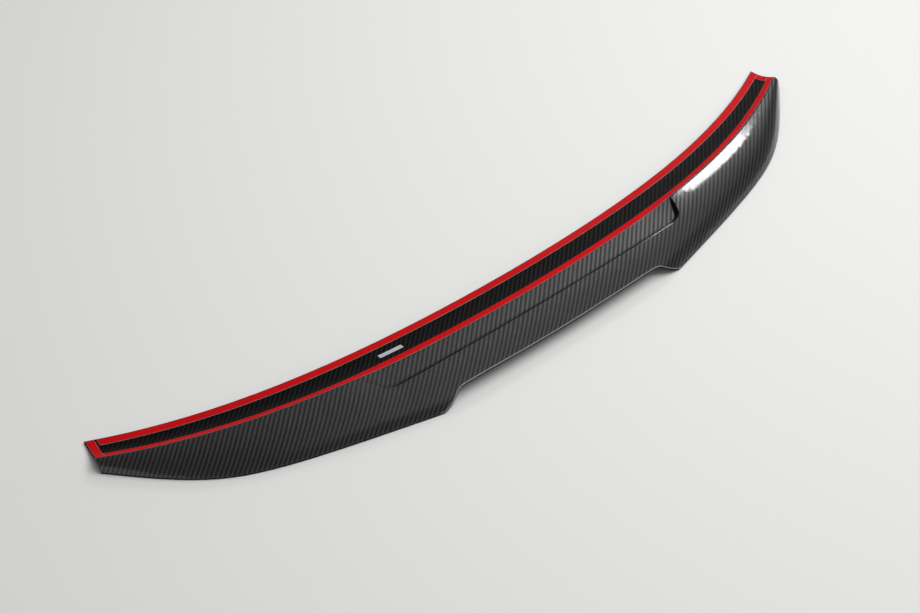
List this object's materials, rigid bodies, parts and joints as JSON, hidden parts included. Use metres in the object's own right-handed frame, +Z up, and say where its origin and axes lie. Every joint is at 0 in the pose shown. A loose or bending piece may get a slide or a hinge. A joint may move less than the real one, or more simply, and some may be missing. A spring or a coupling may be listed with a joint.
{
  "type": "car rear spoiler",
  "caption": "Bowed boot-lid spoiler in woven carbon fibre, lying strip up with red-lined mounting tape, a recessed panel and a notched trailing lip.",
  "frame": {"origin": "middle of the bounding box, at the level of the floor that the trailing lip lies on", "axes": "+X along the span, +Y towards the leading edge, +Z up out of the bonding strip as the part lies; on the car it is turned over, half a turn about X"},
  "size_m": [1.207, 0.2455, 0.0348],
  "materials": {
    "carbon": "woven carbon fibre under clear coat",
    "foam": "pale acrylic foam tape",
    "film": "red release film",
    "label": "bare silver-grey label"
  },
  "bodies": {
    "root": {"spoiler_body": "carbon", "front_tape": "foam", "rear_tape": "foam", "left_end_tape": "foam", "right_end_tape": "foam", "front_liner": "film", "rear_liner": "film", "left_end_liner": "film", "right_end_liner": "film", "label": "label"}
  },
  "joints": []
}
